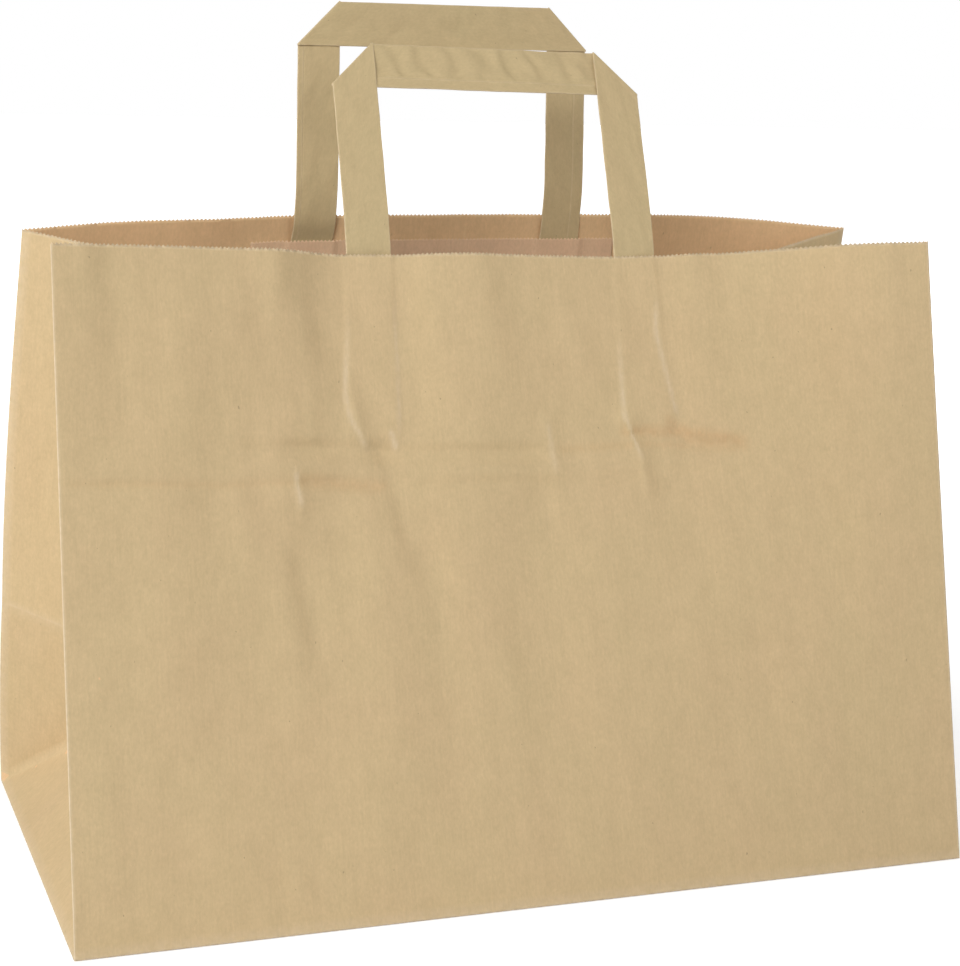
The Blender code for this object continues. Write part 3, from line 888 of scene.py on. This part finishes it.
class Side:
    """One side of the mouth, with places measured from the handle's middle and the rim.

    facing is 1 for the front and -1 for the back. shift is the handle's place along the mouth,
    lean and sway its angles above the rim, half its half width, rise its height and bend the
    length over which it takes its lean. legs are the drifts of its two feet, and seams the places
    across the strip of its glued seam, at both ends of the band.
    """

    def __init__(self, facing, shift, lean, sway, half, rise, bend, legs, seams):
        self.facing = facing
        self.shift = shift
        self.lean = math.radians(lean)
        self.sway = math.tan(math.radians(sway))
        self.half = half
        self.rise = rise
        self.bend = bend
        self.legs = legs
        self.seams = seams
        self.ripple = field(31 + facing, 12, 9.0, 24.0)

    def sheet(self, p):
        """Place round the tube of the sheet at p."""
        if self.facing > 0:
            return HALF_WIDTH + (p + self.shift - FRONT_SHIFT) / (1 - FRONT_LOSS / WIDTH)
        return BACK + HALF_WIDTH - (p + self.shift - BACK_SHIFT) / (1 - BACK_LOSS / WIDTH)

    def feet(self, p):
        """How far the legs and the patch's ridges drift across at the legs' feet."""
        return np.where(p < 0, self.legs[0], self.legs[1])

    def rim(self, p):
        """The flat line that the handle rises from: through the panel's rim at both legs."""
        mid = self.half - STRIP / 2
        legs = np.array([self.sheet(-mid), self.sheet(mid)])
        ends = rounded(legs, np.array([HEIGHT, HEIGHT]))
        below = rounded(legs, np.array([HEIGHT - 40.0, HEIGHT - 40.0]))
        t = ((p + mid) / (2 * mid))[..., None]
        leaning = self.facing * (ends[:, 1] - below[:, 1])
        tilt = np.arcsin(leaning / np.linalg.norm(ends - below, axis=1))
        base = ends[0] + (ends[1] - ends[0]) * t
        base[..., 0] = self.shift + p
        ease = 1.0 if self.facing > 0 else 0.45
        return base, ease * (tilt[0] + (tilt[1] - tilt[0]) * t[..., 0])

    def place(self, p, q, r):
        """p across, q up from the rim, r inwards from the panel's outer face."""
        p, q, r = as_grids(p, q, r)
        base, tilt = self.rim(p)
        base[..., 0] += np.maximum(q, 0) * self.sway
        y = np.where(q < 0, q * np.sin(tilt), 0.0)
        z = np.where(q < 0, q * np.cos(tilt), 0.0)
        bent = np.clip(q, 0, self.bend)
        for i in range(BEND_STEPS):
            angle = tilt + (self.lean - tilt) * bent * (i + 0.5) / BEND_STEPS / self.bend
            y = y + np.sin(angle) * bent / BEND_STEPS
            z = z + np.cos(angle) * bent / BEND_STEPS
        far = np.clip(q - self.bend, 0, None)
        y = y + np.sin(self.lean) * far
        z = z + np.cos(self.lean) * far
        angle = tilt + (self.lean - tilt) * np.clip(q / self.bend, 0, 1)
        point = base.copy()
        point[..., 1] += self.facing * (y + np.cos(angle) * r)
        point[..., 2] += z - np.sin(angle) * r
        glued = skin(self.sheet(p), HEIGHT + np.minimum(q, 0), r)
        share = np.clip(-q / SKIN_FADE, 0, 1)[..., None]
        share = share * share * (3 - 2 * share)
        return point + (glued - point) * share


# Places across the strip of its columns: close together at its edges and near its seam
STRIP_EDGES = [0.0, 0.06, 0.2, 0.45, 0.9, 1.5] + [1.8 + 0.16 * i for i in range(26)]
STRIP_EDGES += [6.4, 7.4, 9.0, 10.8, 12.6, 14.4, 15.8, 16.5, 16.95, 17.2, 17.34, 17.4]
# Rows of a leg, of half a turn at a mitre fold, and of the band
LEG_ROWS = 72
TURN_ROWS = 9
BAND_ROWS = 110
# The gap between a leg and the band at a mitre fold
FOLD_GAP = 0.12
FRONT_SIDE = Side(1, 1.25, 25.3, 1.4, 62.8, 83.2, 18.0, (-2.6, 1.0), (4.0, 4.0))
BACK_SIDE = Side(-1, -0.4, -10.6, 2.72, 62.2, 83.6, 18.0, (0.0, 0.0), (2.3, 5.2))


def ribbon(side, b, leg_r, turn):
    """Rows of a strip: up a leg, round a mitre fold, along the band, round a fold, down a leg.

    Each has its places p, q and r, the side that its face a looks to, from -1 for out to 1 for in,
    its place along the strip, and its share of the fold.
    """
    outer = side.half
    mitre = side.rise - STRIP
    rows = []

    def row(p, q, r, facing, along, bulge=0.0):
        rows.append([value + 0 * b for value in (p, q, r, facing, along, bulge)])

    def leg(way, t, along):
        q = -LEG_BELOW + (mitre + b + LEG_BELOW) * t
        row(b - outer if way < 0 else outer - b, q, leg_r, -1.0, along)

    def fold(way, a, along):
        out = turn * math.cos(a)
        p = b - outer - out * DIAGONAL if way < 0 else outer - b + out * DIAGONAL
        r = leg_r + turn + turn * math.sin(a)
        row(p, mitre + b + out * DIAGONAL, r, math.sin(a), along, math.cos(a))

    quarter = math.pi / 2
    for t in np.linspace(0, 1, LEG_ROWS)[:-1]:
        leg(-1, t, t * 150)
    for a in np.linspace(-quarter, quarter, TURN_ROWS):
        fold(-1, a, 150 + a)
    for t in np.linspace(0, 1, BAND_ROWS)[1:-1]:
        row((outer - b) * (2 * t - 1), mitre + b, leg_r + 2 * turn, 1.0, 160 + 124 * t)
    for a in np.linspace(quarter, -quarter, TURN_ROWS):
        fold(1, a, 290 - a)
    for t in np.linspace(1, 0, LEG_ROWS)[1:]:
        leg(1, t, 450 - t * 150)
    return np.moveaxis(np.array(rows), 1, 0)


def build_handle(name, node, side):
    """One folded strip, with its round edges, its glued seam and the soft ripples of its band."""
    half = STRIP_THICK / 2
    leg_r = PAPER + GLUE_GAP + half
    turn = (STRIP_THICK + FOLD_GAP) / 2
    outer = side.half
    b = np.array(STRIP_EDGES)
    p, q, r, n, along, bulge = ribbon(side, b, leg_r, turn)
    across = np.broadcast_to(b, p.shape)
    from_edge = np.minimum(across, STRIP - across)
    round_edge = np.sqrt(np.clip(1 - (1 - np.clip(from_edge / 0.3, 0, 1)) ** 2, 0, 1))
    thick = half * np.maximum(round_edge, 0.05)
    seam_share = np.clip(0.5 + p / (2 * outer), 0, 1)
    line = side.seams[0] + (side.seams[1] - side.seams[0]) * seam_share
    seam = 0.05 * edge_of(line - across, 0.05)
    groove = -0.06 * np.exp(-((across - line - 0.12) / 0.2) ** 2)
    leg_flat = np.clip(-q / 4.0, 0, 1)
    band = np.clip(n, 0, 1)
    inner_share = np.clip(np.minimum(across - 3.2, STRIP + 1 - across) / 3.0, 0, 1)
    phase = (p + 0.35 * across) / 11.6 * 2 * math.pi + 0.9 * side.ripple(p, q)
    waves = 0.42 * np.sin(phase) * inner_share * band
    waves = waves * np.clip((outer - STRIP - np.abs(p) + 6) / 8, 0, 1)
    if side.facing < 0:
        waves = waves * 0.25
    soft = 0.10 * side.ripple(along, across * 2) * (1 - leg_flat) * (1 - bulge)
    middle = r + (waves + soft) * (1 - 0.9 * leg_flat)
    drift = side.feet(p) * np.clip(-q / LEG_BELOW, 0, 1)
    side_a = side.place(p + drift, q, middle + n * thick)
    side_b = side.place(p + drift, q, middle - n * (thick + seam * round_edge + groove))
    swing = thick * bulge * DIAGONAL
    sign = np.where(p < 0, -1.0, 1.0)
    outwards = np.stack([sign * swing, 0 * swing, swing], -1)
    side_a = side_a + outwards
    side_b = side_b - outwards * 0.6
    place = np.stack([across, along], -1)
    fold_and_highlight_level = 0.5 * np.exp(-(from_edge / 0.3) ** 2) + 0.25 * bulge
    seam_worn = 0.25 * np.exp(-((across - line + 0.2) / 0.25) ** 2)
    paper = Paper()
    a = paper.add(side_a, np.clip(fold_and_highlight_level, 0, 1))
    c = paper.add(side_b, np.clip(fold_and_highlight_level + seam_worn, 0, 1))
    paper.grid(a, place, 0)
    paper.grid(c, place, 0, turned=True)
    paper.rim(a, c, place, 0)
    made = paper.piece(name, [STRIP_PAPER])
    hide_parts(node)


# Where the patches lie on the field of colour, away from the walls, and the way to their faces
PATCH_PLACE = 1300
PATCH_NEAR = 0.18
PATCH_THICK = 0.14


def build_patch(name, node, side):
    """The paper glued over the legs, inside the panel, with sawtooth top and bottom edges."""
    p = np.unique(np.round(np.arange(-PATCH_HALF, PATCH_HALF + 0.01, TOOTH_PITCH / 2), 3))
    flat = np.linspace(PATCH_FOOT + 4, PATCH_TOP - 4, 20)
    levels = np.array([PATCH_FOOT, PATCH_FOOT + 0.9, *flat, PATCH_TOP - 0.9, PATCH_TOP])
    grid_p, grid_s = np.meshgrid(p, levels)
    cut = teeth(grid_p + PATCH_HALF, PATCH_TOOTH_DEPTH)
    grid_s = np.where(grid_s == PATCH_TOP, grid_s - cut, grid_s)
    grid_s = np.where(grid_s == PATCH_FOOT, grid_s + cut, grid_s)
    drift = side.feet(grid_p) * (HEIGHT - grid_s) / LEG_BELOW
    from_leg = np.abs(np.abs(grid_p - drift) - (side.half - STRIP / 2)) - STRIP / 2
    over = 0.5 - 0.5 * np.tanh((from_leg - 1.6) / 0.9)
    uneven = 0.05 * side.ripple(grid_p * 2, grid_s)
    r = PAPER + PATCH_NEAR + over * (STRIP_THICK + 0.32) + uneven
    near = skin(side.sheet(grid_p), grid_s, r)
    far = skin(side.sheet(grid_p), grid_s, r + PATCH_THICK)
    if side.facing < 0:
        near, far, grid_p = near[:, ::-1], far[:, ::-1], grid_p[:, ::-1]
    paper = Paper()
    paper.slab(near, far, np.stack([grid_p + PATCH_PLACE, grid_s], -1), (0, 0, 1))
    made = paper.piece(name, [PATCH_PAPER_PAINTED_LIGHTER, CUT_EDGE])
    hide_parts(node)


build_body()
build_bottom()
build_handle("front_strip", "front_handle", FRONT_SIDE)
build_handle("back_strip", "back_handle", BACK_SIDE)
build_patch("front_patch_sheet", "front_handle_patch", FRONT_SIDE)
build_patch("back_patch_sheet", "back_handle_patch", BACK_SIDE)


# Floor, light and camera

FLOOR_HALF = 6.0
FLOOR_DROP = 0.0002
# The floor keeps the shadow near the bag, and turns white between these two distances
SHADOW_END = 0.25
WHITE_START = 1.4
# Level of the world's light on things
WORLD_LEVEL = 0.23
# What the lamps point at
LIT_HEIGHT = 0.13


def build_floor():
    """A plain pale floor that turns white away from the bag."""
    mesh = bpy.data.meshes.new("floor")
    h = FLOOR_HALF
    mesh.from_pydata([(-h, -h, 0), (h, -h, 0), (h, h, 0), (-h, h, 0)], [], [(0, 1, 2, 3)])
    floor = bpy.data.objects.new("floor", mesh)
    bpy.context.scene.collection.objects.link(floor)
    floor.location.z = -FLOOR_DROP
    material = bpy.data.materials.new("floor paper")
    n = Nodes(material, "Principled BSDF")
    n.main.inputs["Base Color"].default_value = (0.86, 0.86, 0.86, 1.0)
    n.main.inputs["Roughness"].default_value = 0.9
    n.main.inputs["Specular IOR Level"].default_value = 0.1
    n.main.inputs["Emission Color"].default_value = (1.0, 1.0, 1.0, 1.0)
    away = n.add("ShaderNodeVectorMath", operation="LENGTH")
    n.link(n.add("ShaderNodeTexCoord").outputs["Object"], away.inputs[0])
    glow = n.remap(away.outputs["Value"], SHADOW_END, WHITE_START, 0.45, 1.0)
    n.link(n.math("MULTIPLY", n.seen(), glow), n.main.inputs["Emission Strength"])
    mesh.materials.append(material)


def build_world():
    """White for the camera, and soft light of the same white on things."""
    world = bpy.data.worlds.new("studio")
    bpy.context.scene.world = world
    n = Nodes(world, "Background")
    n.main.inputs["Color"].default_value = (1.0, 1.0, 1.0, 1.0)
    n.link(n.remap(n.seen(), 0.0, 1.0, WORLD_LEVEL, 1.0), n.main.inputs["Strength"])


def soft_light(name, azimuth, elevation, distance, size, level):
    """A round softbox. The azimuth runs from the front to the left; level 1 keeps white white."""
    data = bpy.data.lights.new(name, "AREA")
    data.shape = "DISK"
    data.size = size
    data.energy = level * (math.pi * distance) ** 2
    lamp = bpy.data.objects.new(name, data)
    bpy.context.scene.collection.objects.link(lamp)
    turn, rise = math.radians(azimuth), math.radians(elevation)
    flat = math.cos(rise)
    away = Vector((-math.sin(turn) * flat, -math.cos(turn) * flat, math.sin(rise)))
    lamp.location = Vector((0, 0, LIT_HEIGHT)) + away * distance
    lamp.rotation_mode = "QUATERNION"
    lamp.rotation_quaternion = away.to_track_quat("Z", "Y")


# The photo's frame and middle of view in pixels, and the camera fitted to it
PHOTO_WIDTH = 960.0
PHOTO_HEIGHT = 966.0
CENTRE = (472.604, 519.647)
FOCAL = 2114.8
SENSOR = 36.0
YAW, PITCH, ROLL = 0.3544, 0.2291, 0.0344
CAMERA_PLACE = (-0.2837332, -0.7618372, 0.3146747)


def build_camera():
    """The camera at the photo's place and angle."""
    flat = math.cos(PITCH)
    ahead = Vector((math.sin(YAW) * flat, math.cos(YAW) * flat, -math.sin(PITCH)))
    right = Vector((math.cos(YAW), -math.sin(YAW), 0.0))
    up = right.cross(ahead)
    across = right * math.cos(ROLL) + up * math.sin(ROLL)
    above = up * math.cos(ROLL) - right * math.sin(ROLL)
    data = bpy.data.cameras.new("camera")
    data.sensor_width = SENSOR
    data.lens = FOCAL * SENSOR / PHOTO_HEIGHT
    data.shift_x = (PHOTO_WIDTH / 2 - CENTRE[0]) / PHOTO_HEIGHT
    data.shift_y = (CENTRE[1] - PHOTO_HEIGHT / 2) / PHOTO_HEIGHT
    data.clip_start = 0.01
    data.clip_end = 50.0
    camera = bpy.data.objects.new("camera", data)
    bpy.context.scene.collection.objects.link(camera)
    turn = Matrix((across, above, -ahead)).transposed()
    camera.matrix_world = Matrix.Translation(Vector(CAMERA_PLACE)) @ turn.to_4x4()
    bpy.context.scene.camera = camera


build_floor()
build_world()
soft_light("key", 41, 34, 1.35, 0.9, 0.68)
soft_light("side", 98, 5, 1.8, 0.8, 0.38)
soft_light("fill", -45, 22, 2.2, 1.2, 0.20)
soft_light("rear", 205, 30, 2.4, 1.4, 0.32)
build_camera()
bpy.context.scene.view_settings.view_transform = "Standard"
